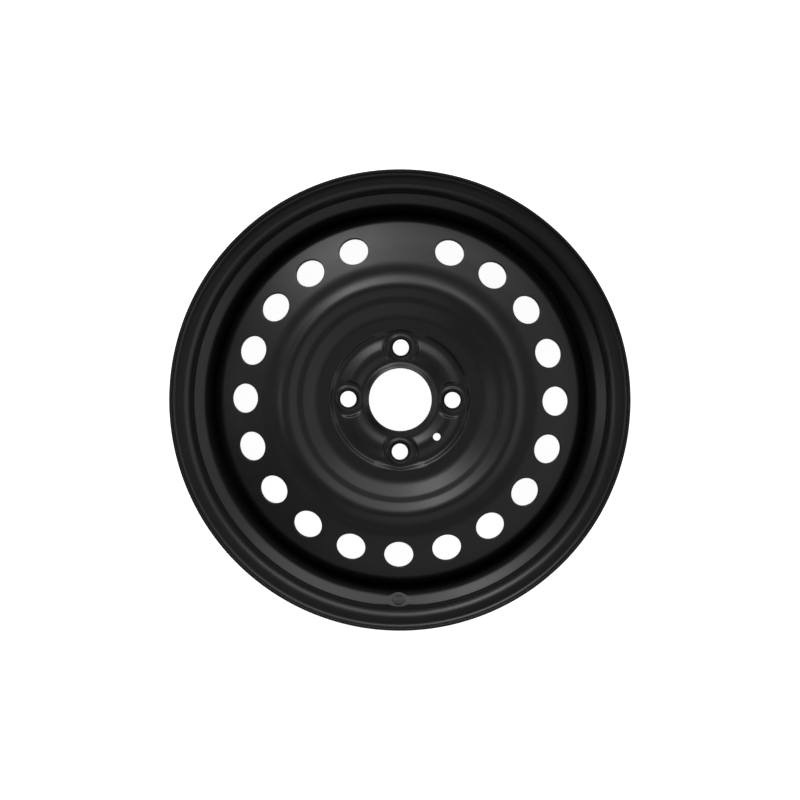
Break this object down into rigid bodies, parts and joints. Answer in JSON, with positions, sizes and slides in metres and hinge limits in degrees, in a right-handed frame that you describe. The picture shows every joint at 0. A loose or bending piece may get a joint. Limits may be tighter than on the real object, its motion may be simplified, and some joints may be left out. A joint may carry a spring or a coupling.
{
  "type": "steel wheel rim",
  "caption": "Pressed steel road wheel: rolled drop-centre rim with a welded-in disc, round vent holes, a centre bore and conical bolt seats.",
  "frame": {"origin": "on the wheel's axis, midway between the rim's two flanges", "axes": "+Z along the wheel's axis towards its outer side, -Y towards the valve hole, +X to the right seen from the outer side"},
  "size_m": [0.4402, 0.4402, 0.189],
  "materials": {
    "rim_paint": "satin black",
    "disc_paint": "satin black",
    "weld_paint": "satin black"
  },
  "bodies": {
    "root": {"rim": "rim_paint", "wheel_disc": "disc_paint", "weld_bead_1": "weld_paint", "weld_bead_2": "weld_paint", "weld_bead_3": "weld_paint", "weld_bead_4": "weld_paint", "weld_bead_5": "weld_paint", "weld_bead_6": "weld_paint", "weld_bead_7": "weld_paint", "weld_bead_8": "weld_paint"}
  },
  "joints": []
}
